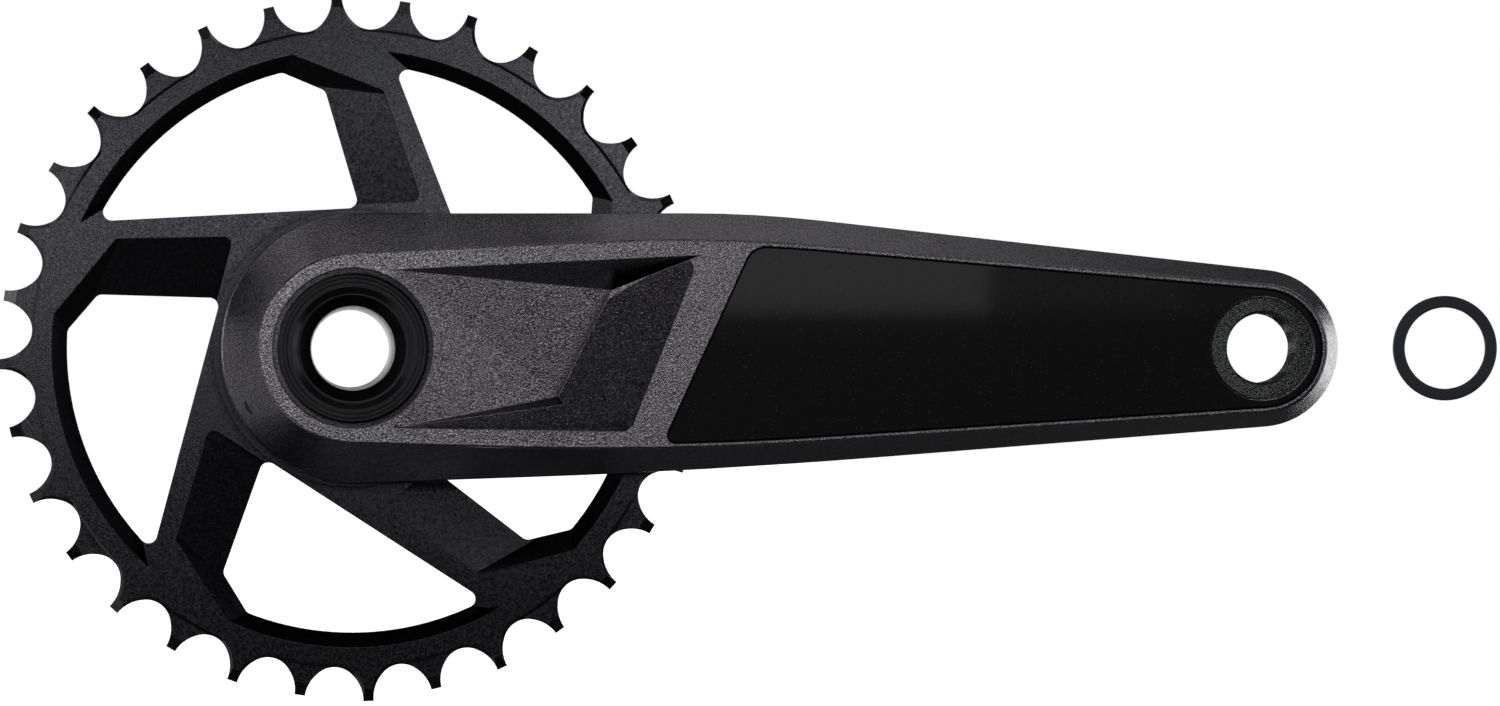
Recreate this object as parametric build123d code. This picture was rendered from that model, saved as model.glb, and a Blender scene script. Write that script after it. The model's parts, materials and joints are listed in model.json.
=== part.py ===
"""Right-hand (drive side) bicycle crankset: forged crank arm on a hollow pressed-in spindle,
a 32 tooth direct-mount chainring, a pedal eye with its loose washer, and the threaded
bottom bracket whose two ball bearings carry the spindle.

Frame, in millimetres: the origin is the middle of the bottom bracket on the spindle axis.
+X runs along the crank arm to the pedal eye, +Z is up, and -Y is outboard, away from the
bicycle. Every round part turns about an axis parallel to Y.
"""

from build123d import *
from math import asin, atan2, cos, hypot, pi, radians, sin
import os

# ---------------------------------------------------------------- crank arm dimensions
ARM_LENGTH = 170.0           # spindle axis to pedal axis
HUB_FACE_Y = -74.0           # outboard face of the arm at the spindle axis
PEDAL_FACE_Y = -86.0         # outboard face of the arm at the pedal axis
ARM_BEVEL_DEPTH = 10.5       # front face to widest outline, square to the front face
ARM_DEPTH = 13.8             # front face to back face, square to the front face
REAR_CHAMFER = 1.6
FRONT_EDGE_ROUND = 0.5
SIDE_EDGE_ROUND = 1.0

RING_SEAT_Y = -57.0          # where the chainring's hub meets the arm
RING_SEAT_RADIUS = 24.9
PILOT_RADIUS = 17.5          # centres the chainring
PILOT_END_Y = -52.0
NECK_RADIUS = 15.0
SHOULDER_Y = -48.6           # inboard end of the arm's neck

END_RING_POCKET_RADIUS = 15.1
END_RING_FLANGE_RADIUS = 14.1
END_RING_THREAD_RADIUS = 13.4
END_RING_BORE = 10.4
END_RING_SEAT_Y = -72.4

PANEL_RECESS = 1.3
PANEL_THICKNESS = 1.0
PANEL_GAP = 0.12             # between the panel's edge and the wall of its recess

PEDAL_BORE = 6.5             # inside the crests of the 9/16 inch pedal thread
PEDAL_SEAT_Y = -84.9         # flat that the pedal washer bears on
PEDAL_BACK_Y = -72.6
PEDAL_SEAT_RADIUS = 9.9
INSERT_FLANGE_RADIUS = 9.55
INSERT_BODY_RADIUS = 8.2
INSERT_FLANGE_THICKNESS = 1.2

WASHER_RADIUS = 9.8
WASHER_BORE = 7.6
WASHER_THICKNESS = 1.2
WASHER_BACK_Y = -87.2        # clear of the highest corner of the arm's front face
WASHER_X = 204.0             # where the loose washer lies, beside the arm's tip

# ---------------------------------------------------------------- chainring dimensions
TOOTH_COUNT = 32
CHAIN_PITCH = 12.7
PITCH_RADIUS = CHAIN_PITCH / (2 * sin(pi / TOOTH_COUNT))
ROOT_RADIUS = PITCH_RADIUS - 3.95
SEAT_RADIUS = 4.65           # a roller's seat, with room for the chain to settle
SEAT_SWEEP = 45.0            # degrees of that arc on each side of the seat's middle
TOOTH_WAIST = (64.4, 1.45)   # a tooth's half width there, between its seat and its tip
TOOTH_FLANK_BEVEL = 0.6
TIP_BEVEL_LENGTH = 2.3
WIDE_TIP_RADIUS = 67.3
NARROW_TIP_RADIUS = 66.8
TIP_WIDTH = 2.0
TOOTH_ANGLE = 360 / TOOTH_COUNT
FIRST_WIDE_TOOTH = 92.6      # degrees from +X towards +Z
FIRST_SPIDER_ARM = 90.0
SPIDER_ARMS = 5
RIM_FRONT_Y = -54.0
RIM_BACK_Y = -50.2
RIM_INNER_RADIUS = 57.0      # inner edge of the rim's flat front land
WINDOW_RADIUS = 54.2
WINDOW_BEVEL_DEPTH = 2.4
POCKET_RIB_DEPTH = 0.35      # step down from a rib to its pocket
POCKET_FALL = 2.0            # how much deeper the pocket is at the window
NARROW_TOOTH_HALF = 1.0      # half thickness of a tooth that fits between inner plates
RING_HUB_RADIUS = 26.4
RING_HUB_BACK_Y = -51.4
RING_BORE = 17.52
BOLT_CIRCLE = 21.2
BOLT_ANGLES = (90, 210, 330)
BOLT_SHANK = 2.0
BOLT_HEAD = 3.5

# ---------------------------------------------------------------- spindle and bottom bracket
SPINDLE_RADIUS = 12.0
SPINDLE_BORE = 8.0
SPINDLE_OUTER_Y = -71.4
SPINDLE_INNER_Y = 62.0
SPLINE_START_Y = 49.5
SPLINE_COUNT = 16

SHELL_HALF = 36.5            # half of a 73 mm frame shell
SHELL_SPACER = 2.5
CUP_THREAD_RADIUS = 17.4     # 1.37 inch thread, over its crests
CUP_THREAD_LENGTH = 11.5
CUP_THREAD_RELIEF = 1.5      # plain groove between the thread and the shell's face
CUP_FLANGE_RADIUS = 21.6
CUP_OUTER_Y = 47.4
CUP_BORE = 15.0
CUP_NOTCHES = 16

BEARING_INBOARD = 40.2
BEARING_WIDTH = 7.0
BEARING_OUTER = 18.5
OUTER_RACE_BORE = 16.7
INNER_RACE_OUTER = 14.3
BEARING_BORE = 12.5
BALL_CIRCLE = 15.5
BALL_RADIUS = 1.75
BALL_COUNT = 17
GROOVE_RADIUS = 1.8
POCKET_RADIUS = 1.87
SLEEVE_BORE = 13.4
SLEEVE_RADIUS = 14.4

FLARE = atan2(HUB_FACE_Y - PEDAL_FACE_Y, ARM_LENGTH)
FACE_LENGTH = hypot(ARM_LENGTH, HUB_FACE_Y - PEDAL_FACE_Y)
FACE_PLANE = Plane(
    origin=(0, HUB_FACE_Y, 0),
    x_dir=(cos(FLARE), -sin(FLARE), 0),
    z_dir=(-sin(FLARE), -cos(FLARE), 0),
)


# ---------------------------------------------------------------- helpers
def slab(face, y_inboard, y_outboard):
    """A sketch drawn in X and Z, made solid between two planes square to the spindle."""
    plane = Plane(origin=(0, y_inboard, 0), x_dir=(1, 0, 0), z_dir=(0, -1, 0))
    return extrude(plane * face, amount=y_inboard - y_outboard)


def turned(*points):
    """A solid of revolution about the spindle axis, from (radius, y) points."""
    return revolve(make_face(Polyline(*points, close=True)), Axis.Y)


def tube(r_in, r_out, y_a, y_b):
    return turned((r_in, y_a), (r_out, y_a), (r_out, y_b), (r_in, y_b))


def rod(radius, y_a, y_b, x=0.0, z=0.0):
    """A round bar parallel to the spindle."""
    return slab(Pos(x, z) * Circle(radius), max(y_a, y_b), min(y_a, y_b))


def polar(radius, angle):
    return radius * cos(radians(angle)), radius * sin(radians(angle))


def spin(shape, angle):
    """Turns a shape from +X towards +Z."""
    return shape.rotate(Axis.Y, -angle)


def to_left(shape):
    """The same piece for the other side of the bicycle."""
    return shape.mirror(Plane.XZ)


def tangent_point(corner, centre, radius, side):
    """Where a line from corner touches a circle; side picks one of the two lines."""
    dx, dz = centre[0] - corner[0], centre[1] - corner[1]
    distance = hypot(dx, dz)
    spread = asin(radius / distance)
    heading = atan2(dz, dx) + side * spread
    reach = distance * cos(spread)
    return corner[0] + reach * cos(heading), corner[1] + reach * sin(heading)


# ---------------------------------------------------------------- crank arm
def arm_outline(hub_radius, end_radius, top_corner, low_corner, top_bend, low_bend):
    """Two end circles joined above and below by a gently bent flank."""
    hub, end = (0.0, 0.0), (FACE_LENGTH, 0.0)
    hub_top = tangent_point(top_corner, hub, hub_radius, -1)
    end_top = tangent_point(top_corner, end, end_radius, 1)
    hub_low = tangent_point(low_corner, hub, hub_radius, 1)
    end_low = tangent_point(low_corner, end, end_radius, -1)
    top = FilletPolyline(hub_top, top_corner, end_top, radius=top_bend)
    low = FilletPolyline(end_low, low_corner, hub_low, radius=low_bend)
    end_arc = ThreePointArc(end_top, (FACE_LENGTH + end_radius, 0), end_low)
    hub_arc = ThreePointArc(hub_low, (-hub_radius, 0), hub_top)
    return make_face(Curve() + [top, end_arc, low, hub_arc])


def front_outline(inset=0.0):
    """The arm's flat front face, inset all round."""
    return arm_outline(
        hub_radius=17.7 - inset,
        end_radius=12.0 - inset,
        top_corner=(67.0, 21.0 - inset),
        low_corner=(58.3, inset - 19.45),
        top_bend=318.0,
        low_bend=600.0,
    )


def widest_outline(inset=0.0):
    """The arm's silhouette, at the foot of its bevelled sides."""
    return arm_outline(
        hub_radius=25.5 - inset,
        end_radius=14.85 - inset,
        top_corner=(75.2, 25.5 - inset),
        low_corner=(66.0, inset - 23.2),
        top_bend=225.0,
        low_bend=1500.0,
    )


def panel_outline(inset):
    """The front panel: right of a slanted cut, inset from the edge of the front face."""
    cut_low, cut_high = (54.2 + inset, -26.0), (77.9 + inset, 26.0)
    right_of_cut = make_face(Polyline(cut_low, (230, -26), (230, 26), cut_high, close=True))
    panel = front_outline(0.75 + inset) & right_of_cut
    panel = fillet(panel.vertices().sort_by(Axis.X)[0], 1.6)
    return fillet(panel.vertices().filter_by(lambda v: v.Y > 15).sort_by(Axis.X)[0], 4.2)


def prism(rim, floor_heights, floor_triangles, lid_height):
    """A solid over an outline on the arm's face, with a floor of triangles below it."""
    count = len(rim)
    floor = [FACE_PLANE.from_local_coords(Vector(x, z, h)) for (x, z), h in zip(rim, floor_heights)]
    lid = [FACE_PLANE.from_local_coords(Vector(x, z, lid_height)) for x, z in rim]
    triangles = [tuple(floor[i] for i in corners) for corners in floor_triangles]
    triangles += [(lid[0], lid[i], lid[i + 1]) for i in range(1, count - 1)]
    for i in range(count):
        j = (i + 1) % count
        for wall in ((floor[i], floor[j], lid[j]), (floor[i], lid[j], lid[i])):
            if all((p - q).length > 1e-6 for p, q in zip(wall, wall[1:] + wall[:1])):
                triangles.append(wall)
    return Solid(Shell([Face(Wire.make_polygon(t, close=True)) for t in triangles]))


POCKET_TIP_TOP, POCKET_TIP_LOW = (7.9, 14.7), (7.6, -15.0)
POCKET_END_TOP, POCKET_END_LOW = (65.2, 17.4), (52.0, -15.7)
RAMP_END_TOP, RAMP_END_LOW = (48.5, 10.9), (38.4, -9.0)
LEDGE_CORNER = (39.5, -10.6)


def ledge_height(point):
    """Height of the tilted ledge that wraps the ramp, above the arm's face."""
    return -0.1 - 0.073 * (point[0] - POCKET_TIP_LOW[0]) + 0.1255 * (point[1] - POCKET_TIP_LOW[1])


def ramp_cutter():
    """The ramp beside the spindle, which deepens away from the hub, and the wall above it."""
    rim = (POCKET_TIP_TOP, POCKET_TIP_LOW, LEDGE_CORNER, RAMP_END_LOW, RAMP_END_TOP, POCKET_END_TOP)
    heights = (0, 0, ledge_height(LEDGE_CORNER), -3.9, -4.4, -0.3)
    floor = ((0, 1, 3), (1, 2, 3), (0, 3, 4), (0, 4, 5))
    return prism(rim, heights, floor, lid_height=6.0)


def ledge_cutter():
    """Everything above the ledge, inside the pocket's rounded outline."""
    corners = (POCKET_TIP_TOP, POCKET_TIP_LOW, POCKET_END_LOW, POCKET_END_TOP)
    outline = make_face(Polyline(*corners, close=True))
    right = outline.vertices().sort_by(Axis.X)[-2:]
    outline = fillet(right, 2.6)
    block = extrude(FACE_PLANE.offset(-9) * outline, 15)
    reach = ((-20, -60), (-20, 60), (120, 60), (120, -60))
    heights = [ledge_height(p) for p in reach]
    return block & prism(reach, heights, ((0, 1, 2), (0, 2, 3)), lid_height=30.0)


def arm_blank():
    """The forging: flat face, wide bevelled sides, straight band and a chamfered back."""
    sections = [
        FACE_PLANE * front_outline(),
        FACE_PLANE.offset(-ARM_BEVEL_DEPTH) * widest_outline(),
    ]
    bevel = loft(sections, ruled=True)
    band_depth = ARM_DEPTH - ARM_BEVEL_DEPTH - REAR_CHAMFER
    band = extrude(FACE_PLANE.offset(-ARM_BEVEL_DEPTH - band_depth) * widest_outline(), band_depth)
    rear_sections = [
        FACE_PLANE.offset(REAR_CHAMFER - ARM_DEPTH) * widest_outline(),
        FACE_PLANE.offset(-ARM_DEPTH) * widest_outline(REAR_CHAMFER),
    ]
    return bevel + band + loft(rear_sections, ruled=True)


def follows(edge, rim):
    """Whether an edge runs along the rim of a flat shape."""
    return all(rim.distance_to(point) < 0.02 for point in (edge @ 0, edge @ 0.5, edge @ 1))


def rounded(arm, outline, depth, radius):
    """The arm with its sharp edge rounded along that outline, depth below its front face."""
    rim = (FACE_PLANE.offset(-depth) * outline).wires()[0]
    return fillet([edge for edge in arm.edges() if follows(edge, rim)], radius)


def crank_arm():
    in_front_of_band = extrude(FACE_PLANE.offset(-ARM_BEVEL_DEPTH - SIDE_EDGE_ROUND) * Circle(40), 20)
    boss = rod(RING_SEAT_RADIUS, RING_SEAT_Y, HUB_FACE_Y) - in_front_of_band
    pilot = rod(PILOT_RADIUS, PILOT_END_Y, RING_SEAT_Y)
    neck = chamfer(rod(NECK_RADIUS, SHOULDER_Y, PILOT_END_Y).edges().sort_by(Axis.Y)[-1], 0.6)
    arm = arm_blank() + boss + pilot + neck
    arm -= ramp_cutter()
    arm -= ledge_cutter()
    arm -= extrude(FACE_PLANE.offset(-PANEL_RECESS) * panel_outline(0), PANEL_RECESS + 5)
    arm -= rod(END_RING_POCKET_RADIUS, END_RING_SEAT_Y, HUB_FACE_Y - 5)
    arm -= rod(END_RING_THREAD_RADIUS, SPINDLE_OUTER_Y + 1, END_RING_SEAT_Y)
    arm -= rod(SPINDLE_RADIUS, SHOULDER_Y + 1, SPINDLE_OUTER_Y + 1)
    arm -= rod(PEDAL_SEAT_RADIUS, PEDAL_SEAT_Y, PEDAL_FACE_Y - 5, x=ARM_LENGTH)
    arm -= rod(INSERT_FLANGE_RADIUS, PEDAL_SEAT_Y + INSERT_FLANGE_THICKNESS, PEDAL_SEAT_Y, x=ARM_LENGTH)
    arm -= rod(INSERT_BODY_RADIUS, PEDAL_BACK_Y + 5, PEDAL_SEAT_Y, x=ARM_LENGTH)
    for angle in BOLT_ANGLES:
        x, z = polar(BOLT_CIRCLE, angle)
        arm -= rod(BOLT_SHANK, RING_SEAT_Y + 1, RING_SEAT_Y - 8.5, x=x, z=z)
    arm = rounded(arm, front_outline(), 0, FRONT_EDGE_ROUND)
    return rounded(arm, widest_outline(), ARM_BEVEL_DEPTH, SIDE_EDGE_ROUND)


def face_panel():
    plate = extrude(FACE_PLANE.offset(-PANEL_RECESS) * panel_outline(PANEL_GAP), PANEL_THICKNESS)
    plate = chamfer(plate.faces().sort_by(Axis.Y)[0].outer_wire().edges(), 0.3)
    return plate - rod(PEDAL_SEAT_RADIUS, PEDAL_BACK_Y, PEDAL_FACE_Y - 5, x=ARM_LENGTH)


def pedal_insert():
    """Flanged bush pressed in the pedal eye, bored at the thread's crests."""
    flange_back = PEDAL_SEAT_Y + INSERT_FLANGE_THICKNESS
    profile = [
        (PEDAL_BORE + 0.45, PEDAL_SEAT_Y), (INSERT_FLANGE_RADIUS, PEDAL_SEAT_Y),
        (INSERT_FLANGE_RADIUS, flange_back), (INSERT_BODY_RADIUS, flange_back),
        (INSERT_BODY_RADIUS, PEDAL_BACK_Y), (PEDAL_BORE + 0.45, PEDAL_BACK_Y),
        (PEDAL_BORE, PEDAL_BACK_Y - 0.45), (PEDAL_BORE, PEDAL_SEAT_Y + 0.45),
    ]
    return Pos(ARM_LENGTH, 0, 0) * turned(*profile)


def pedal_washer():
    front = WASHER_BACK_Y - WASHER_THICKNESS
    ring = tube(WASHER_BORE, WASHER_RADIUS, WASHER_BACK_Y, front)
    return Pos(WASHER_X, 0, 0) * chamfer(ring.edges().filter_by(GeomType.CIRCLE), 0.2)


def crank_end_ring():
    """Threaded ring that closes the arm's outer end and traps the spindle."""
    return turned(
        (END_RING_BORE, SPINDLE_OUTER_Y), (END_RING_THREAD_RADIUS, SPINDLE_OUTER_Y),
        (END_RING_THREAD_RADIUS, END_RING_SEAT_Y), (END_RING_FLANGE_RADIUS, END_RING_SEAT_Y),
        (END_RING_FLANGE_RADIUS, -73.5), (13.7, -73.9), (13.2, -73.9), (13.2, -73.4),
        (12.3, -73.4), (12.3, -73.9), (11.5, -73.9), (END_RING_BORE, -73.1),
    )


def end_ring_seal():
    """Rubber ring that sits proud of the groove in the end ring's face."""
    section = Pos(12.75, -73.62) * RectangleRounded(0.84, 0.44, 0.2)
    return revolve(section, Axis.Y)


# ---------------------------------------------------------------- chainring
def tooth_outline(tip_radius, inset=0.0):
    """One tooth about +X, from the roller seat below it to the roller seat above it."""
    half = TOOTH_ANGLE / 2
    seat_x, seat_z = polar(ROOT_RADIUS + SEAT_RADIUS, half)

    def on_seat(sweep):
        x, z = polar(SEAT_RADIUS + inset, 180 + half + sweep)
        return seat_x + x, seat_z + z

    def below(point):
        return point[0], -point[1]

    bottom, middle, flank = (on_seat(sweep) for sweep in (0, SEAT_SWEEP / 2, SEAT_SWEEP))
    waist = TOOTH_WAIST[0], TOOTH_WAIST[1] - inset
    tip = tip_radius, (TIP_WIDTH - inset) / 2
    inner = polar(ROOT_RADIUS - 2, half)
    return make_face(Curve() + [
        ThreePointArc(bottom, middle, flank), ThreePointArc(flank, waist, tip), Line(tip, below(tip)),
        ThreePointArc(below(tip), below(waist), below(flank)),
        ThreePointArc(below(flank), below(middle), below(bottom)),
        Line(below(bottom), below(inner)), Line(below(inner), inner), Line(inner, bottom),
    ])


def bevelled_tip(tooth, tip_radius, half_thickness, tip_half):
    """A tooth thinned on both sides over the last of its height."""
    middle = (RIM_FRONT_Y + RIM_BACK_Y) / 2
    start, shoulder = ROOT_RADIUS - 3, tip_radius - TIP_BEVEL_LENGTH
    return tooth & turned(
        (start, middle - half_thickness), (shoulder, middle - half_thickness),
        (tip_radius + 0.1, middle - tip_half), (tip_radius + 0.1, middle + tip_half),
        (shoulder, middle + half_thickness), (start, middle + half_thickness),
    )


def narrow_tooth():
    middle = (RIM_FRONT_Y + RIM_BACK_Y) / 2
    outline = tooth_outline(NARROW_TIP_RADIUS)
    tooth = slab(outline, middle + NARROW_TOOTH_HALF, middle - NARROW_TOOTH_HALF)
    return bevelled_tip(tooth, NARROW_TIP_RADIUS, NARROW_TOOTH_HALF, 0.4)


def wide_tooth():
    """As thick as the rim along its middle, with both flanks bevelled."""
    outline, crest = tooth_outline(WIDE_TIP_RADIUS), tooth_outline(WIDE_TIP_RADIUS, TOOTH_FLANK_BEVEL)
    half_thickness = (RIM_BACK_Y - RIM_FRONT_Y) / 2
    planes = [Plane(origin=(0, y, 0), x_dir=(1, 0, 0), z_dir=(0, -1, 0)) for y in (
        RIM_BACK_Y, RIM_BACK_Y - half_thickness + NARROW_TOOTH_HALF,
        RIM_FRONT_Y + half_thickness - NARROW_TOOTH_HALF, RIM_FRONT_Y)]
    tooth = extrude(planes[1] * outline, 2 * NARROW_TOOTH_HALF)
    tooth += loft([planes[0] * crest, planes[1] * outline], ruled=True)
    tooth += loft([planes[2] * outline, planes[3] * crest], ruled=True)
    return bevelled_tip(tooth, WIDE_TIP_RADIUS, half_thickness, 0.7)


def toothed_rim():
    rim = turned(
        (WINDOW_RADIUS - 3, RIM_BACK_Y), (ROOT_RADIUS - 0.6, RIM_BACK_Y),
        (ROOT_RADIUS - 0.02, RIM_BACK_Y - 0.5), (ROOT_RADIUS - 0.02, RIM_FRONT_Y + 0.35),
        (ROOT_RADIUS - 0.5, RIM_FRONT_Y), (WINDOW_RADIUS - 3, RIM_FRONT_Y),
    )
    wide, narrow, teeth = wide_tooth(), narrow_tooth(), []
    for i in range(TOOTH_COUNT // 2):
        turn = FIRST_WIDE_TOOTH + 2 * i * TOOTH_ANGLE
        teeth += [spin(wide, turn), spin(narrow, turn + TOOTH_ANGLE)]
    return rim + teeth


MITRE_FRONT = polar(RIM_INNER_RADIUS, 101.5)   # where a window's bevel leaves the rim
MITRE_BACK = polar(WINDOW_RADIUS, 104.3)
BEVEL_END_FRONT, BEVEL_END_BACK = (-51.6, 23.9), (-48.6, 23.9)
BEVEL_OVERCUT = 1.1
RIB_TOP, RIB_LOW = (5.9, 49.1), (13.2, 28.0)   # the edge of a pocket along its rib


def window_outline():
    """The opening on the counter-clockwise side of the spider arm that points up."""
    rim_end, corner_rim, corner_hub = polar(WINDOW_RADIUS, 153.6), (-5.2, 49.1), (1.35, 26.75)
    sides = make_face(Curve() + [
        ThreePointArc(rim_end, polar(WINDOW_RADIUS, 130), MITRE_BACK), Line(MITRE_BACK, corner_rim),
        Line(corner_rim, corner_hub), Line(corner_hub, rim_end),
    ])
    return fillet(sides.vertices(), 1.7)


def past_wall(front, back):
    """Where a line down the bevel ends: a little beyond the window's wall, so the two cut cleanly."""
    return tuple(f + BEVEL_OVERCUT * (b - f) for f, b in zip(front, back))


def window_bevel():
    """The sloping band along the rim side of a window, deepest at the opening."""
    front = make_face(Curve() + [
        ThreePointArc(BEVEL_END_FRONT, polar(RIM_INNER_RADIUS, 127), MITRE_FRONT),
        Line(MITRE_FRONT, (-8, 50)), Line((-8, 50), BEVEL_END_FRONT),
    ])
    low_end, mitre = past_wall(BEVEL_END_FRONT, BEVEL_END_BACK), past_wall(MITRE_FRONT, MITRE_BACK)
    middle = past_wall(polar(RIM_INNER_RADIUS, 127), polar(WINDOW_RADIUS, 129))
    back = make_face(Curve() + [
        ThreePointArc(low_end, middle, mitre), Line(mitre, (-9, 47)), Line((-9, 47), low_end),
    ])
    plane = Plane(origin=(0, RIM_FRONT_Y, 0), x_dir=(1, 0, 0), z_dir=(0, -1, 0))
    depth = BEVEL_OVERCUT * WINDOW_BEVEL_DEPTH
    return loft([plane * front, plane.offset(-depth) * back], ruled=True)


def outboard_of(shape, corners, depths):
    """The part of a shape outboard of the plane through three points below the rim's front."""
    a, b, c = (Vector(x, RIM_FRONT_Y + depth, z) for (x, z), depth in zip(corners, depths))
    normal = (b - a).cross(c - a)
    plane = Plane(origin=a, z_dir=normal if normal.Y < 0 else -normal)
    return split(shape, bisect_by=plane, keep=Keep.TOP)


def spider_pocket():
    """The recess in a spider arm: it slopes from the arm's rib to the window, under the bevel."""
    outline = make_face(Polyline(MITRE_BACK, MITRE_FRONT, RIB_TOP, RIB_LOW, (-1, 27.2), close=True))
    outline = fillet(outline.vertices().sort_by(Axis.X)[-1], 1.5)
    block = slab(outline, RIM_BACK_Y, RIM_FRONT_Y - 5)
    block = outboard_of(block, (MITRE_FRONT, RIB_TOP, MITRE_BACK), (0, 0, WINDOW_BEVEL_DEPTH))
    beside_window = (2.3, 24.2)
    floor_depths = (POCKET_RIB_DEPTH, POCKET_RIB_DEPTH, POCKET_RIB_DEPTH + POCKET_FALL)
    return outboard_of(block, (RIB_TOP, RIB_LOW, beside_window), floor_depths)


def chainring():
    plate = rod(WINDOW_RADIUS - 2, RIM_BACK_Y, RIM_FRONT_Y)
    hub = rod(RING_HUB_RADIUS, RING_HUB_BACK_Y, RING_SEAT_Y)
    ring = toothed_rim() + plate + hub
    ring -= rod(RING_HUB_RADIUS - 1.6, RIM_BACK_Y + 1, RING_HUB_BACK_Y)
    window = slab(window_outline(), RIM_BACK_Y + 2, RING_SEAT_Y - 2)
    for i in range(SPIDER_ARMS):
        turn = FIRST_SPIDER_ARM - 90 + i * 360 / SPIDER_ARMS
        ring -= [spin(window, turn), spin(window_bevel(), turn), spin(spider_pocket(), turn)]
    ring -= rod(RING_BORE, RIM_BACK_Y + 2, RING_SEAT_Y - 2)
    for angle in BOLT_ANGLES:
        x, z = polar(BOLT_CIRCLE, angle)
        ring -= rod(BOLT_SHANK, RIM_BACK_Y, RING_SEAT_Y - 1, x=x, z=z)
    return ring


def chainring_bolts():
    """Button head screws with a six-sided socket, driven from the inboard side."""
    head_y = RING_HUB_BACK_Y + 2.1
    bolts = []
    for angle in BOLT_ANGLES:
        x, z = polar(BOLT_CIRCLE, angle)
        head = fillet(rod(BOLT_HEAD, RING_HUB_BACK_Y, head_y).edges().sort_by(Axis.Y)[-1], 0.8)
        socket = slab(RegularPolygon(1.45, 6), head_y + 1, head_y - 1.4)
        bolts.append(Pos(x, 0, z) * (head + rod(BOLT_SHANK, RING_HUB_BACK_Y, RING_SEAT_Y - 8) - socket))
    return bolts


# ---------------------------------------------------------------- spindle
def spindle():
    """Hollow steel axle: pressed into the arm at one end, splined for a left arm at the other."""
    inner, outer = SPINDLE_INNER_Y, SPINDLE_OUTER_Y
    body = turned(
        (SPINDLE_BORE, inner - 0.6), (SPINDLE_BORE + 0.6, inner), (SPINDLE_RADIUS - 0.8, inner),
        (SPINDLE_RADIUS, inner - 0.8), (SPINDLE_RADIUS, SPLINE_START_Y),
        (SPINDLE_RADIUS - 0.5, SPLINE_START_Y), (SPINDLE_RADIUS - 0.5, -SHOULDER_Y),
        (SPINDLE_RADIUS, -SHOULDER_Y), (SPINDLE_RADIUS, outer), (END_RING_BORE - 0.4, outer),
        (END_RING_BORE - 0.4, outer + 4), (SPINDLE_BORE, outer + 6),
    )
    root = Pos(SPINDLE_RADIUS + 0.1, 0) * Rot(0, 0, 45) * Rectangle(0.7, 0.7)
    groove = slab(root, inner + 1, SPLINE_START_Y - 0.5)
    return body - [spin(groove, i * 360 / SPLINE_COUNT) for i in range(SPLINE_COUNT)]


# ---------------------------------------------------------------- bottom bracket, drive side
def cup(shoulder_y):
    """Threaded cup that holds one bearing outboard of the shell, notched for a ring spanner.

    shoulder_y is how far from the middle its flange starts.
    """
    bearing_outboard = BEARING_INBOARD + BEARING_WIDTH
    thread_end = SHELL_HALF - CUP_THREAD_LENGTH
    relief_start = CUP_THREAD_RELIEF - SHELL_HALF
    body = turned(
        (CUP_BORE, -thread_end), (CUP_THREAD_RADIUS - 0.6, -thread_end),
        (CUP_THREAD_RADIUS, -thread_end - 0.6), (CUP_THREAD_RADIUS, relief_start),
        (CUP_THREAD_RADIUS - 0.7, relief_start), (CUP_THREAD_RADIUS - 0.7, -shoulder_y),
        (CUP_FLANGE_RADIUS - 0.3, -shoulder_y), (CUP_FLANGE_RADIUS, -shoulder_y - 0.3),
        (CUP_FLANGE_RADIUS, 0.8 - CUP_OUTER_Y), (CUP_FLANGE_RADIUS - 0.8, -CUP_OUTER_Y),
        (BEARING_OUTER + 0.2, -CUP_OUTER_Y), (BEARING_OUTER, -bearing_outboard),
        (BEARING_OUTER, -BEARING_INBOARD), (CUP_BORE, -BEARING_INBOARD),
    )
    notch = rod(1.6, -shoulder_y + 1, -CUP_OUTER_Y - 1, x=CUP_FLANGE_RADIUS + 0.6)
    return body - [spin(notch, i * 360 / CUP_NOTCHES) for i in range(CUP_NOTCHES)]


def race(r_in, r_out):
    """A bearing race with the ball groove turned in whichever wall faces the balls."""
    middle = -(BEARING_INBOARD + BEARING_WIDTH / 2)
    ring = tube(r_in, r_out, -BEARING_INBOARD, -BEARING_INBOARD - BEARING_WIDTH)
    ring = chamfer(ring.edges().filter_by(GeomType.CIRCLE), 0.2)
    groove = revolve(Pos(BALL_CIRCLE, middle) * Circle(GROOVE_RADIUS), Axis.Y)
    return ring - groove


def round_the_balls(shape):
    """Copies of a shape, one at each ball's place."""
    return [spin(shape, (i + 0.5) * 360 / BALL_COUNT) for i in range(BALL_COUNT)]


def balls():
    middle = -(BEARING_INBOARD + BEARING_WIDTH / 2)
    return round_the_balls(Pos(BALL_CIRCLE, middle, 0) * Sphere(BALL_RADIUS))


def cage():
    """The ring that spaces the balls, drilled radially with a pocket for each."""
    middle = -(BEARING_INBOARD + BEARING_WIDTH / 2)
    ring = tube(BALL_CIRCLE - 0.8, BALL_CIRCLE + 0.8, middle - 2.4, middle + 2.4)
    pocket = Pos(BALL_CIRCLE, middle, 0) * Rot(0, 90, 0) * Cylinder(POCKET_RADIUS, 4)
    return ring - round_the_balls(pocket)


def seals():
    """The thin rubber shield in each face of a bearing, with its lip short of the inner race."""
    outboard = -(BEARING_INBOARD + BEARING_WIDTH)
    shields = []
    for face in (outboard + 0.2, -BEARING_INBOARD - 0.7):
        shields.append(tube(INNER_RACE_OUTER + 0.1, OUTER_RACE_BORE, face, face + 0.5))
    return shields


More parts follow.
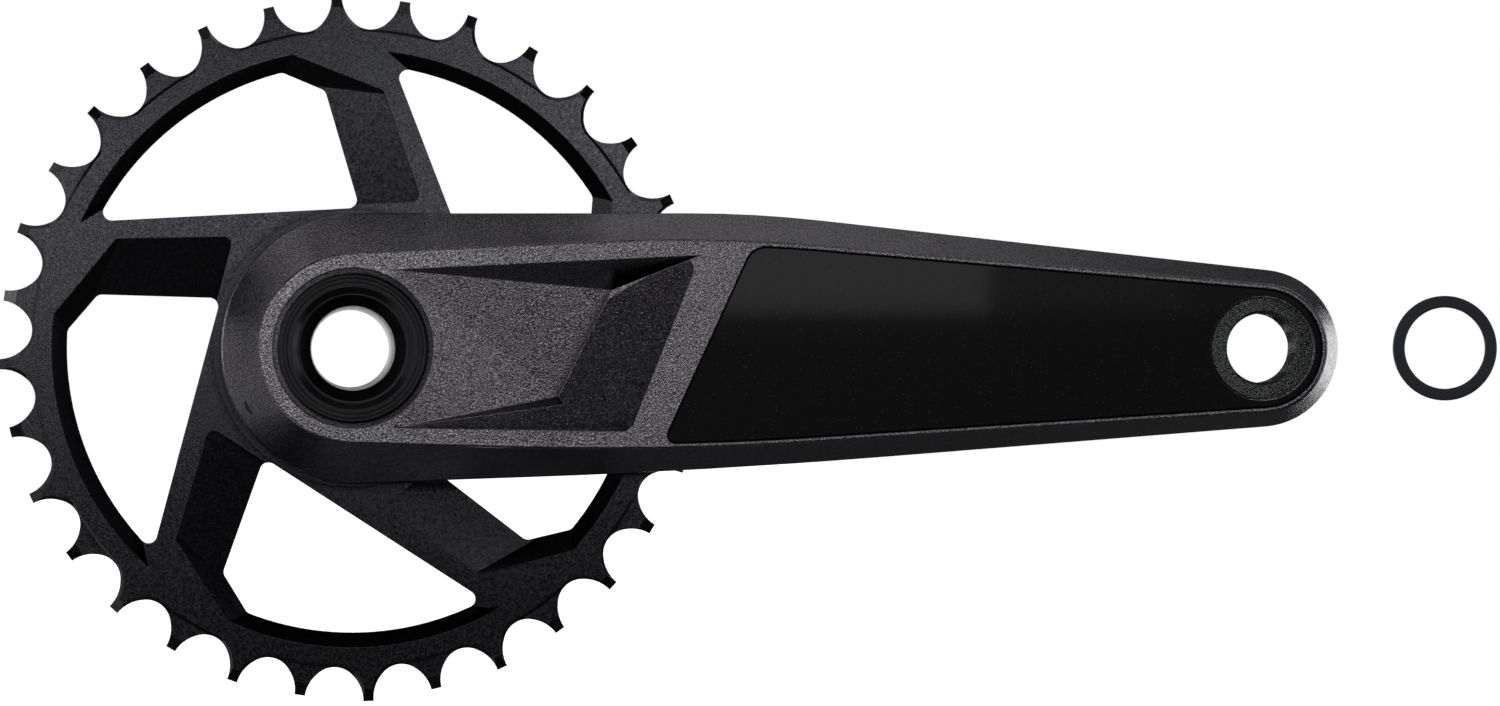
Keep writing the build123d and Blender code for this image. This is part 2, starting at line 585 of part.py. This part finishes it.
def bearing_bush():
    """Plastic top hat between the inner race and the spindle, flanged over the bearing."""
    outboard = -(BEARING_INBOARD + BEARING_WIDTH)
    return turned(
        (SPINDLE_RADIUS, -BEARING_INBOARD), (BEARING_BORE, -BEARING_INBOARD),
        (BEARING_BORE, outboard), (INNER_RACE_OUTER, outboard), (INNER_RACE_OUTER, outboard - 0.4),
        (BEARING_OUTER - 0.3, outboard - 0.4), (BEARING_OUTER - 0.3, outboard - 1.0),
        (BEARING_OUTER - 0.7, SHOULDER_Y), (SPINDLE_RADIUS, SHOULDER_Y),
    )


def shell_spacer():
    return tube(CUP_THREAD_RADIUS + 0.1, CUP_FLANGE_RADIUS - 0.5, -SHELL_HALF - SHELL_SPACER, -SHELL_HALF)


def centre_sleeve():
    """Plastic tube that keeps dirt from the shell off the spindle, ribbed at its middle."""
    end = SHELL_HALF - CUP_THREAD_LENGTH + 7
    return turned(
        (SLEEVE_BORE, -end), (SLEEVE_RADIUS, -end), (SLEEVE_RADIUS, -3), (SLEEVE_RADIUS + 0.8, -2),
        (SLEEVE_RADIUS + 0.8, 2), (SLEEVE_RADIUS, 3), (SLEEVE_RADIUS, end), (SLEEVE_BORE, end),
    )


def sleeve_seal():
    """O-ring pinched between the sleeve and the bore of a cup."""
    width = CUP_BORE - SLEEVE_RADIUS
    middle = -(SHELL_HALF - CUP_THREAD_LENGTH + 4)
    return revolve(Pos(SLEEVE_RADIUS + width / 2, middle) * RectangleRounded(width, 1.2, 0.25), Axis.Y)


# ---------------------------------------------------------------- the pieces by name
def all_pieces():
    drive = {
        "bearing_outer_race": race(OUTER_RACE_BORE, BEARING_OUTER),
        "bearing_inner_race": race(BEARING_BORE, INNER_RACE_OUTER),
        "bearing_balls": Compound(balls()),
        "bearing_cage": cage(),
        "bearing_seals": Compound(seals()),
        "bearing_bush": bearing_bush(),
        "sleeve_seal": sleeve_seal(),
    }
    pieces = {
        "crank_arm": crank_arm(),
        "face_panel": face_panel(),
        "pedal_insert": pedal_insert(),
        "pedal_washer": pedal_washer(),
        "crank_end_ring": crank_end_ring(),
        "end_ring_seal": end_ring_seal(),
        "chainring": chainring(),
        "chainring_bolts": Compound(chainring_bolts()),
        "spindle": spindle(),
        "drive_cup": cup(SHELL_HALF + SHELL_SPACER),
        "left_cup": to_left(cup(SHELL_HALF)),
        "shell_spacer": shell_spacer(),
        "centre_sleeve": centre_sleeve(),
    }
    for name, piece in drive.items():
        pieces["drive_" + name] = piece
        pieces["left_" + name] = to_left(piece)
    return pieces


if __name__ == "__main__":
    os.makedirs("parts", exist_ok=True)
    for name, piece in all_pieces().items():
        export_step(piece, f"parts/{name}.step")
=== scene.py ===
"""Looks and studio for the bicycle crankset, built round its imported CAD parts.

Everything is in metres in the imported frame: the origin is the middle of the bottom bracket,
+X runs to the pedal eye, +Z is up and -Y is outboard, towards the camera.
"""

import json
import math

import bpy
from mathutils import Euler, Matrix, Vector


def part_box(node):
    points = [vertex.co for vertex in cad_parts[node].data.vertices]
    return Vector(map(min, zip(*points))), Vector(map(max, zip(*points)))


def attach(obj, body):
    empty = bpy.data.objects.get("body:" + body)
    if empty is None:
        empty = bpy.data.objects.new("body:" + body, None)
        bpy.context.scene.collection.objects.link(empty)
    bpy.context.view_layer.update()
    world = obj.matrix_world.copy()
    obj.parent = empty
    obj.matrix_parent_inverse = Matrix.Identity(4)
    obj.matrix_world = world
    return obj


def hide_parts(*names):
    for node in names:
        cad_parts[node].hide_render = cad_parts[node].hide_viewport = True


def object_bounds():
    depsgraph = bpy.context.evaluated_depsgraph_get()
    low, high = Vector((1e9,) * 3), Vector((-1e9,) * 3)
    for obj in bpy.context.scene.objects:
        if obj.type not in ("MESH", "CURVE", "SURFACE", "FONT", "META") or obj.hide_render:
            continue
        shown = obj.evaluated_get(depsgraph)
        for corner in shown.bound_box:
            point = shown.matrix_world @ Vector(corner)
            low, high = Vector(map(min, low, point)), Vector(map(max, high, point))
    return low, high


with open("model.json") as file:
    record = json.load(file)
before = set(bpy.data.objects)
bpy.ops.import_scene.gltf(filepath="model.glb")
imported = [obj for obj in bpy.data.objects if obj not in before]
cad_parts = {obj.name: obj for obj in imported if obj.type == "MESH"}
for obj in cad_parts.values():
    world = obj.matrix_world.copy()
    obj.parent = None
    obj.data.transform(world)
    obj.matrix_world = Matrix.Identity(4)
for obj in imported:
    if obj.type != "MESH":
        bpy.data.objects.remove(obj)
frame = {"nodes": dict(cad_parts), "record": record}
cad_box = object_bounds()

MM = 0.001
TURN = 2 * math.pi


# ---------------------------------------------------------------- node graphs
class Graph:
    """A material whose nodes are added by short calls that return an output socket."""

    def __init__(self, name):
        self.material = bpy.data.materials.new(name)
        self.material.use_nodes = True
        self.tree = self.material.node_tree
        self.tree.nodes.clear()
        self.shader = self.node("BsdfPrincipled")
        self.node("OutputMaterial", Surface=self.shader.outputs["BSDF"])
        self.place = self.node("TexCoord").outputs["Object"]

    def put(self, socket, value):
        """Links or sets an input socket; None leaves it as it is."""
        if isinstance(value, bpy.types.NodeSocket):
            self.tree.links.new(value, socket)
        elif value is not None:
            socket.default_value = value

    def fill(self, node, inputs):
        """Puts values in a node's inputs by name; an underscore in a name stands for a space."""
        for name, value in inputs.items():
            self.put(node.inputs[name.replace("_", " ")], value)

    def node(self, kind, **inputs):
        """A new node of that kind, with its inputs filled."""
        node = self.tree.nodes.new("ShaderNode" + kind)
        self.fill(node, inputs)
        return node

    def surface(self, **inputs):
        """Sets the shader's inputs and returns the finished material."""
        self.fill(self.shader, inputs)
        return self.material

    def stretched(self, scale, origin=(0, 0, 0)):
        """The object's coordinates, measured from origin and scaled."""
        shift = [-o * s for o, s in zip(origin, scale)]
        return self.node("Mapping", Vector=self.place, Scale=scale, Location=shift).outputs["Vector"]

    def noise(self, size, detail=2.0, place=None, roughness=0.5):
        """Noise whose features are about size metres across."""
        node = self.node("TexNoise", Vector=place or self.place, Scale=1 / size, Detail=detail,
                         Roughness=roughness)
        return node.outputs["Fac"]

    def lines(self, distance, pitch, detail=3.0):
        """Noise that varies with one distance only, so it draws lines about pitch metres apart."""
        node = self.node("TexNoise", Scale=1 / pitch, Detail=detail)
        node.noise_dimensions = "1D"
        self.put(node.inputs["W"], distance)
        return node.outputs["Fac"]

    def cells(self, size):
        """The distance from the middle of cells about size metres across."""
        return self.node("TexVoronoi", Vector=self.place, Scale=1 / size).outputs["Distance"]

    def split(self, place):
        """The X, Y and Z of a place."""
        return self.node("SeparateXYZ", Vector=place).outputs[:3]

    def math(self, operation, a, b=None, c=None):
        """One step of arithmetic on up to three values."""
        node = self.node("Math")
        node.operation = operation
        for socket, value in zip(node.inputs, (a, b, c)):
            self.put(socket, value)
        return node.outputs[0]

    def ramp(self, value, low, high, out_low=0.0, out_high=1.0):
        """Maps low..high to out_low..out_high, clamped."""
        node = self.node("MapRange")
        for socket, v in zip(node.inputs, (value, low, high, out_low, out_high)):
            self.put(socket, v)
        return node.outputs[0]

    def spread(self, noise, low=0.0, high=1.0):
        """Maps noise, which lies mostly between 0.3 and 0.7, to low..high."""
        return self.ramp(noise, 0.3, 0.7, low, high)

    def mix(self, factor, a, b):
        """A colour between a and b."""
        node = self.node("Mix", Factor=factor)
        node.data_type = "RGBA"
        # The node has sockets of one name for each type of data, so the colours' go by number.
        colour_inputs, colour_output = node.inputs[6:8], node.outputs[2]
        for socket, colour in zip(colour_inputs, (a, b)):
            self.put(socket, colour if isinstance(colour, bpy.types.NodeSocket) else (*colour, 1))
        return colour_output

    def bump(self, height, depth, normal, strength=1.0):
        """The surface normal roughened by height, whose full swing is depth metres."""
        return self.node("Bump", Strength=strength, Distance=depth, Height=height,
                         Normal=normal).outputs["Normal"]

    def rounded(self, radius):
        """The surface normal with every edge rounded to that radius."""
        node = self.node("Bevel", Radius=radius)
        node.samples = 4
        return node.outputs["Normal"]

    def edge(self, rounded):
        """1 where the rounded normal is well away from the flat one, so at an edge, and 0 elsewhere."""
        node = self.node("VectorMath")
        node.operation = "DOT_PRODUCT"
        self.put(node.inputs[0], rounded)
        self.put(node.inputs[1], self.node("NewGeometry").outputs["Normal"])
        return self.ramp(node.outputs["Value"], 0.995, 0.8)

    def crevice_shade(self, reach):
        """Painted shade: 1 in the open, falling to 0 deep in a gap narrower than reach, where little
        light gets in.
        """
        open_sky = self.node("AmbientOcclusion", Distance=reach)
        open_sky.samples = 4
        return self.ramp(open_sky.outputs["AO"], 0.35, 0.75)


# ---------------------------------------------------------------- finishes
def scaled(colour, factor):
    return [factor * channel for channel in colour]


def blasted_anodise(name, dark, light, grain, depth, roughness, edge_wear_and_highlight):
    """Bead-blasted and anodised aluminium: fine sparkling grain, slow mottling, edges lightened partly
    as wear and partly as a painted highlight, and painted shade in the crevices.
    """
    g = Graph(name)
    normal = g.rounded(0.18 * MM)
    fine = g.noise(grain, 3.0)
    mottle = g.noise(9 * MM, 4.0)
    pits = g.ramp(g.cells(2.2 * grain), 0.0, 0.35)
    tone = g.math("MULTIPLY_ADD", g.ramp(fine, 0.32, 0.68), 0.8, g.math("MULTIPLY", mottle, 0.2))
    # Painted shade: in crevices and recesses the colour falls towards a fifth of the dark tone, as if
    # light were blocked there.
    colour = g.mix(g.math("MULTIPLY", g.crevice_shade(5 * MM), tone), scaled(dark, 0.2), light)
    return g.surface(
        # Edges lighter in colour: partly wear, partly a painted highlight along every rounded edge.
        Base_Color=g.mix(g.math("MULTIPLY", g.edge(normal), edge_wear_and_highlight), colour, scaled(light, 2.0)),
        Metallic=1.0,
        Roughness=g.spread(g.noise(3 * grain), roughness - 0.05, roughness + 0.05),
        Normal=g.bump(g.math("ADD", fine, g.math("MULTIPLY", pits, 0.3)), depth, normal),
    )


def clear_coated(name, dark, light, dust):
    """Smooth black film under a hard clear coat, with faint mottling and specks of dust."""
    g = Graph(name)
    mottle = g.noise(1.6 * MM, 5.0, roughness=0.65)
    specks = g.ramp(g.noise(0.35 * MM, 1.0), 0.69, 0.74)
    film = g.mix(g.ramp(mottle, 0.35, 0.7), dark, light)
    return g.surface(
        Base_Color=g.mix(g.math("MULTIPLY", specks, 0.8), film, dust),
        Roughness=g.spread(mottle, 0.34, 0.46),
        Normal=g.bump(mottle, 0.002 * MM, g.rounded(0.15 * MM)),
        Specular_IOR_Level=0.08,
        Coat_Weight=0.24,
        Coat_Roughness=0.04,
    )


def turned_metal(name, dark, light, roughness, metallic, centre=(0, 0, 0), pitch=0.12 * MM,
                 depth=0.032 * MM, edge_wear_and_highlight=0.25):
    """Metal turned on a lathe about an axis along Y: fine rings that follow the tool's path."""
    g = Graph(name)
    normal = g.rounded(0.12 * MM)
    # The shares differ, so that the rings don't fade on a 45 degree chamfer.
    radial_share, axial_share = 0.87, 1.13
    x, y, z = g.split(g.stretched((1, 1, 1), centre))
    radius = g.math("SQRT", g.math("ADD", g.math("POWER", x, 2.0), g.math("POWER", z, 2.0)))
    path = g.math("ADD", g.math("MULTIPLY", radius, radial_share), g.math("MULTIPLY", y, axial_share))
    rings = g.lines(path, pitch)
    spots = g.noise(2.5 * MM, 4.0)
    tone = g.math("MULTIPLY_ADD", rings, 0.5, g.math("MULTIPLY", spots, 0.5))
    return g.surface(
        # Edges lighter in colour: partly wear, partly a painted highlight along every rounded edge.
        Base_Color=g.mix(
            g.math("MULTIPLY", g.edge(normal), edge_wear_and_highlight), g.mix(tone, dark, light), scaled(light, 2.2)),
        Metallic=metallic,
        Roughness=g.spread(spots, roughness - 0.06, roughness + 0.08),
        Normal=g.bump(rings, depth, normal, 0.6),
    )


def ground_steel(name, colour, roughness):
    """Hardened and ground steel: bright, with hair-fine marks round the axis."""
    return turned_metal(name, scaled(colour, 0.8), colour, roughness, metallic=1.0,
                        # Its edges are lightened a little, partly as wear and partly as a painted
                        # highlight.
                        pitch=0.05 * MM, depth=0.012 * MM, edge_wear_and_highlight=0.1)


def rough_cast(name, dark, light, grain, depth, roughness):
    """Coarse crystalline black finish that glitters, as on a sintered or phosphated insert."""
    g = Graph(name)
    cells = g.cells(grain)
    fine = g.noise(0.6 * grain, 4.0, roughness=0.7)
    return g.surface(
        Base_Color=g.mix(g.ramp(fine, 0.46, 0.66), dark, light),
        Metallic=0.8,
        Roughness=g.ramp(cells, 0.0, 0.7, roughness + 0.12, roughness - 0.1),
        Normal=g.bump(g.math("ADD", cells, fine), depth, g.rounded(0.1 * MM)),
    )


def moulded(name, dark, light, roughness, grain, depth):
    """Moulded rubber or plastic: matt, with the fine spark texture of its mould."""
    g = Graph(name)
    texture = g.noise(grain, 3.0)
    flow = g.noise(6 * MM, 3.0, g.stretched((1, 0.25, 1)))
    return g.surface(
        Base_Color=g.mix(g.spread(flow), dark, light),
        Roughness=g.spread(texture, roughness - 0.06, roughness + 0.06),
        Normal=g.bump(texture, depth, g.rounded(0.15 * MM)),
    )


washer_low, washer_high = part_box("pedal_washer")
WASHER_AXIS = ((washer_low.x + washer_high.x) / 2, 0, 0)

# The material slots, each with its kind of finish and that finish's settings.
# The edge lightening in these settings is partly wear and partly a painted highlight.
RECIPES = {
    "arm_anodised": (blasted_anodise, dict(
        dark=(0.095, 0.089, 0.099), light=(0.335, 0.315, 0.349), grain=0.32 * MM, depth=0.055 * MM,
        roughness=0.22, edge_wear_and_highlight=0.25)),
    "chainring_black": (blasted_anodise, dict(
        dark=(0.058, 0.058, 0.066), light=(0.094, 0.094, 0.106), grain=0.22 * MM, depth=0.005 * MM,
        roughness=0.18, edge_wear_and_highlight=0.04)),
    "gloss_panel": (clear_coated, dict(
        dark=(0.0052, 0.0046, 0.005), light=(0.0085, 0.0072, 0.0078), dust=(0.05, 0.05, 0.055))),
    "insert_black": (rough_cast, dict(
        dark=(0.008, 0.009, 0.009), light=(0.42, 0.43, 0.43), grain=0.32 * MM, depth=0.09 * MM,
        roughness=0.34)),
    "washer_steel": (turned_metal, dict(
        dark=(0.035, 0.038, 0.046), light=(0.075, 0.08, 0.092), roughness=0.42, metallic=0.85,
        centre=WASHER_AXIS)),
    "end_ring_black": (turned_metal, dict(
        dark=(0.014, 0.014, 0.016), light=(0.034, 0.034, 0.038), roughness=0.30, metallic=0.8,
        edge_wear_and_highlight=0.12)),
    "bolt_black": (turned_metal, dict(
        dark=(0.02, 0.02, 0.021), light=(0.05, 0.05, 0.052), roughness=0.38, metallic=0.9)),
    "spindle_steel": (turned_metal, dict(
        dark=(0.025, 0.025, 0.028), light=(0.06, 0.06, 0.065), roughness=0.35, metallic=0.9,
        pitch=0.2 * MM)),
    "cup_black": (turned_metal, dict(
        dark=(0.02, 0.02, 0.023), light=(0.05, 0.05, 0.056), roughness=0.34, metallic=0.85)),
    "race_steel": (ground_steel, dict(colour=(0.52, 0.53, 0.55), roughness=0.22)),
    "ball_steel": (ground_steel, dict(colour=(0.62, 0.63, 0.65), roughness=0.12)),
    "cage_plastic": (moulded, dict(
        dark=(0.30, 0.27, 0.18), light=(0.40, 0.36, 0.26), roughness=0.45, grain=0.3 * MM,
        depth=0.004 * MM)),
    "seal_rubber": (moulded, dict(
        dark=(0.012, 0.012, 0.013), light=(0.025, 0.025, 0.026), roughness=0.60, grain=0.2 * MM,
        depth=0.006 * MM)),
    "rubber_black": (moulded, dict(
        dark=(0.010, 0.010, 0.010), light=(0.020, 0.020, 0.021), roughness=0.65, grain=0.2 * MM,
        depth=0.006 * MM)),
    "plastic_black": (moulded, dict(
        dark=(0.014, 0.014, 0.015), light=(0.03, 0.03, 0.032), roughness=0.48, grain=0.25 * MM,
        depth=0.006 * MM)),
    "sleeve_plastic": (moulded, dict(
        dark=(0.05, 0.05, 0.052), light=(0.08, 0.08, 0.083), roughness=0.42, grain=0.3 * MM,
        depth=0.006 * MM)),
}
FINISHES = {name: kind(name, **settings) for name, (kind, settings) in RECIPES.items()}


def dress(thing, finish):
    """Gives a thing that finish, in place of what it had."""
    thing.data.materials.clear()
    thing.data.materials.append(FINISHES[finish])


# ---------------------------------------------------------------- every CAD node's finish
for row in frame["record"]["subparts"]:
    dress(frame["nodes"][row["node"]], row["material_slot"])


# ---------------------------------------------------------------- pieces with real threads
# This section's sizes are in millimetres, and lathe turns them into metres.
SHARP_EDGE = math.radians(32)
THREAD_FLAT = 0.12       # share of half a pitch that is flat at the crest, and as much at the root


def lathe(name, rows, axis_x=0.0, columns=144):
    """A closed ring about an axis along Y, from rows of (radius, y).

    A radius may be a function of the angle. Along the bore the rows run towards +Y.
    """
    points, faces = [], []
    for radius, y in rows:
        for j in range(columns):
            angle = TURN * j / columns
            r = radius(angle) if callable(radius) else radius
            points.append(((axis_x + r * math.cos(angle)) * MM, y * MM, r * math.sin(angle) * MM))
    for i in range(len(rows)):
        row, after = i * columns, (i + 1) % len(rows) * columns
        for j in range(columns):
            k = (j + 1) % columns
            faces.append((row + j, row + k, after + k, after + j))
    mesh = bpy.data.meshes.new(name)
    mesh.from_pydata(points, [], faces)
    mesh.shade_smooth()
    mesh.set_sharp_from_angle(angle=SHARP_EDGE)
    piece = bpy.data.objects.new(name, mesh)
    bpy.context.scene.collection.objects.link(piece)
    return piece


def helix(crest, depth, pitch, y, limit):
    """The radius of a V thread at y, cut outwards if depth is above 0 and inwards if it is below.

    The limit is the chamfer that takes the thread away at its ends. The crest moves towards +Y as
    the angle grows from +X to +Z, so the thread is left-handed.
    """
    def radius(angle):
        turn = (y / pitch - angle / TURN) % 1.0
        flank = (abs(2 * turn - 1) - THREAD_FLAT) / (1 - 2 * THREAD_FLAT)
        r = crest + depth * min(max(flank, 0.0), 1.0)
        return max(r, limit) if depth > 0 else min(r, limit)
    return radius


def levels(start, end, step):
    """Places from start to end, evenly spaced by about step."""
    count = round(abs(end - start) / step)
    return [start + (end - start) * i / count for i in range(count + 1)]


def insert_rows(front, back):
    """The bush in the pedal eye, with a thread of 9/16 inch and 20 turns per inch."""
    bore, body, flange = 6.5, 8.2, 9.55                  # radii
    pitch, depth = 1.27, 0.64
    mouth, tail_chamfer, rim_chamfer = 0.45, 0.2, 0.15
    flange_back = front + 1.2
    rows = []
    for y in levels(front, back, pitch / 10):
        to_end = min(y - front, back - y)
        rows.append((helix(bore, depth, pitch, y, bore + mouth - to_end), y))
    return rows + [
        (body - tail_chamfer, back), (body, back - tail_chamfer), (body, flange_back),
        (flange, flange_back), (flange, front + rim_chamfer), (flange - rim_chamfer, front),
    ]


def notched(radius):
    """A flange's radius with round spanner notches cut in it."""
    count, centre, notch = 16, 22.2, 1.6
    step = TURN / count

    def at(angle):
        off = (angle + step / 2) % step - step / 2
        inside = notch ** 2 - (centre * math.sin(off)) ** 2
        if inside <= 0:
            return radius
        return min(radius, centre * math.cos(off) - math.sqrt(inside))
    return at


def cup_rows(shoulder):
    """A bearing cup on the +Y side, from inboard along its bore and back over its thread."""
    start, thread_end, seat, face = 25.0, 35.0, 40.2, 47.4                          # along Y
    sleeve_bore, bearing_bore, relief, crest, flange = 15.0, 18.5, 16.7, 17.4, 21.6    # radii
    bore_chamfer, rim_chamfer, shoulder_chamfer = 0.2, 0.8, 0.3
    pitch, depth, step = 1.058, 0.6, 0.106
    rows = [
        (sleeve_bore, start), (sleeve_bore, seat), (bearing_bore, seat),
        (bearing_bore, face - bore_chamfer), (bearing_bore + bore_chamfer, face),
        (notched(flange - rim_chamfer), face), (notched(flange), face - rim_chamfer),
        (notched(flange), shoulder + shoulder_chamfer), (notched(flange - shoulder_chamfer), shoulder),
        (relief, shoulder), (relief, thread_end),
    ]
    for y in levels(thread_end, start, step):
        to_end = min(y - start, thread_end - y)
        rows.append((helix(crest, -depth, pitch, y, crest - depth + to_end), y))
    return rows


def fitted(piece, node, body, finish):
    """The piece stands for that CAD node and moves with that body."""
    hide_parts(node)
    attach(piece, body)
    dress(piece, finish)


insert_low, insert_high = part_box("pedal_insert")
insert = lathe(
    "threaded_insert", insert_rows(insert_low.y / MM, insert_high.y / MM),
    axis_x=(insert_low.x + insert_high.x) / 2 / MM)
fitted(insert, "pedal_insert", "crank", "insert_black")

# The left cup's shoulder is as far from the middle as the spacer's inner face, and the drive cup's
# shoulder lies on its outer face. The drive cup is mirrored, so its thread is right-handed.
CUP_COLUMNS = 288
spacer_low, spacer_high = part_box("shell_spacer")
left_rows = cup_rows(-spacer_high.y / MM)
left_cup = lathe("threaded_left_cup", left_rows, columns=CUP_COLUMNS)
fitted(left_cup, "left_cup", "bottom_bracket", "cup_black")
drive_rows = [(radius, -y) for radius, y in reversed(cup_rows(-spacer_low.y / MM))]
drive_cup = lathe("threaded_drive_cup", drive_rows, columns=CUP_COLUMNS)
fitted(drive_cup, "drive_cup", "bottom_bracket", "cup_black")


# ---------------------------------------------------------------- lights
ARM_ROOT, ARM_MIDDLE, ARM_TIP = (0.05, -0.07, 0.0), (0.10, -0.08, 0.0), (0.15, -0.08, 0.0)


def softbox(name, azimuths, elevations, distance, brightness, aim=ARM_ROOT):
    """A rectangular light that spans those angles seen from aim; azimuth 0 is the camera's side."""
    a, e = (math.radians(sum(span) / 2) for span in (azimuths, elevations))
    away = Vector((math.sin(a) * math.cos(e), -math.cos(a) * math.cos(e), math.sin(e)))
    data = bpy.data.lights.new(name, "AREA")
    data.shape = "RECTANGLE"
    data.size, data.size_y = (
        2 * distance * math.tan(math.radians(high - low) / 2) for low, high in (azimuths, elevations))
    data.energy = brightness * math.pi * data.size * data.size_y
    light = bpy.data.objects.new(name, data)
    light.location = Vector(aim) + distance * away
    light.rotation_euler = away.to_track_quat("Z", "Y").to_euler()
    light.visible_camera = False
    bpy.context.scene.collection.objects.link(light)


# Each light's azimuths and elevations in degrees, its distance, its brightness and, for some, its aim.
LIGHTS = {
    # Low in front, mirrored in the arm's face and the panel's coat.
    "strip_left": ((-30, 0.5), (0.65, 4), 1.3, 2.0),
    "strip_middle": ((0.5, 4), (0.65, 4), 1.3, 0.5),
    "strip_right": ((4, 20), (0.65, 4), 1.3, 0.2),
    "key_left": ((-42, -12), (2, 15), 1.3, 2.6),
    "key_right": ((1, 20), (2, 10), 1.3, 2.0),
    # Wide and to the left, behind and above, mirrored in the bevels round the arm.
    "left": ((-90, -50), (-12, 28), 1.0, 0.5),
    "back_left": ((-142, -92), (-40, 55), 1.0, 0.36),
    "back_top": ((140, 220), (42, 100), 0.8, 0.32, ARM_MIDDLE),
    "back_right": ((100, 140), (28, 62), 0.8, 0.55, ARM_TIP),
    # Dim fills above and below, for the ramps, ledges and lower bevels.
    "high_front": ((-25, 12), (32, 55), 1.3, 0.6),
    "low_front": ((-25, 25), (-50, -18), 1.1, 0.025),
    "under": ((-25, 25), (-115, -75), 0.9, 0.05),
    "fill_low_left": ((-80, -45), (-45, -14), 1.1, 0.5),
    # At the right and behind, for views that the photograph doesn't have.
    "side_right": ((62, 96), (-25, 25), 1.1, 1.3),
    "rear": ((136, 214), (-14, 8), 1.1, 1.8),
}
for name, row in LIGHTS.items():
    softbox(name, *row)


# ---------------------------------------------------------------- backdrop
def backdrop(seen_colour, ambient_colour, ambient_strength):
    """A world that the camera sees as one colour, and that lights the object with another."""
    world = bpy.data.worlds.new("studio")
    bpy.context.scene.world = world
    world.use_nodes = True
    nodes, links = world.node_tree.nodes, world.node_tree.links
    nodes.clear()
    seen, ambient = (nodes.new("ShaderNodeBackground") for _ in range(2))
    seen.inputs["Color"].default_value = (*seen_colour, 1)
    ambient.inputs["Color"].default_value = (*ambient_colour, 1)
    ambient.inputs["Strength"].default_value = ambient_strength
    by_ray = nodes.new("ShaderNodeMixShader")
    links.new(nodes.new("ShaderNodeLightPath").outputs["Is Camera Ray"], by_ray.inputs[0])
    links.new(ambient.outputs[0], by_ray.inputs[1])
    links.new(seen.outputs[0], by_ray.inputs[2])
    links.new(by_ray.outputs[0], nodes.new("ShaderNodeOutputWorld").inputs[0])


def pale_floor(height, half):
    """A square floor that only the camera sees, so that the underside of the object stays dark."""
    mesh = bpy.data.meshes.new("floor")
    mesh.from_pydata(
        [(-half, -half, height), (half, -half, height), (half, half, height), (-half, half, height)],
        [], [(0, 1, 2, 3)])
    g = Graph("floor_pale")
    mesh.materials.append(g.surface(
        Base_Color=g.mix(g.noise(2 * MM, 3.0), (0.86, 0.86, 0.86), (0.9, 0.9, 0.9)),
        Roughness=0.9,
        Emission_Color=(1, 1, 1, 1),
        Emission_Strength=1.3,
    ))
    floor = bpy.data.objects.new("floor", mesh)
    bpy.context.scene.collection.objects.link(floor)
    floor.visible_diffuse = floor.visible_glossy = floor.visible_shadow = False
    return floor


# The crank turns about the Y axis, and reaches as far down as it reaches along X at rest.
FLOOR_GAP = 0.005
backdrop(seen_colour=(1, 1, 1), ambient_colour=(0.95, 0.97, 1), ambient_strength=0.038)
floor = pale_floor(height=-cad_box[1].x - FLOOR_GAP, half=12.0)

# ---------------------------------------------------------------- camera
SENSOR_WIDTH, FOCAL_LENGTH = 36.0, 161.112     # mm
CAMERA_PLACE = (-0.0054, -1.334, -0.0009)
CAMERA_YAW = math.radians(-3.63)               # turned towards the pedal eye

lens = bpy.data.cameras.new("camera")
lens.sensor_width = SENSOR_WIDTH
lens.lens = FOCAL_LENGTH
lens.clip_start, lens.clip_end = 0.05, 50
camera = bpy.data.objects.new("camera", lens)
camera.location = CAMERA_PLACE
camera.rotation_euler = Euler((math.pi / 2, 0, CAMERA_YAW))
bpy.context.scene.collection.objects.link(camera)
bpy.context.scene.camera = camera
bpy.context.scene.view_settings.view_transform = "Standard"
bpy.context.scene.view_settings.look = "None"
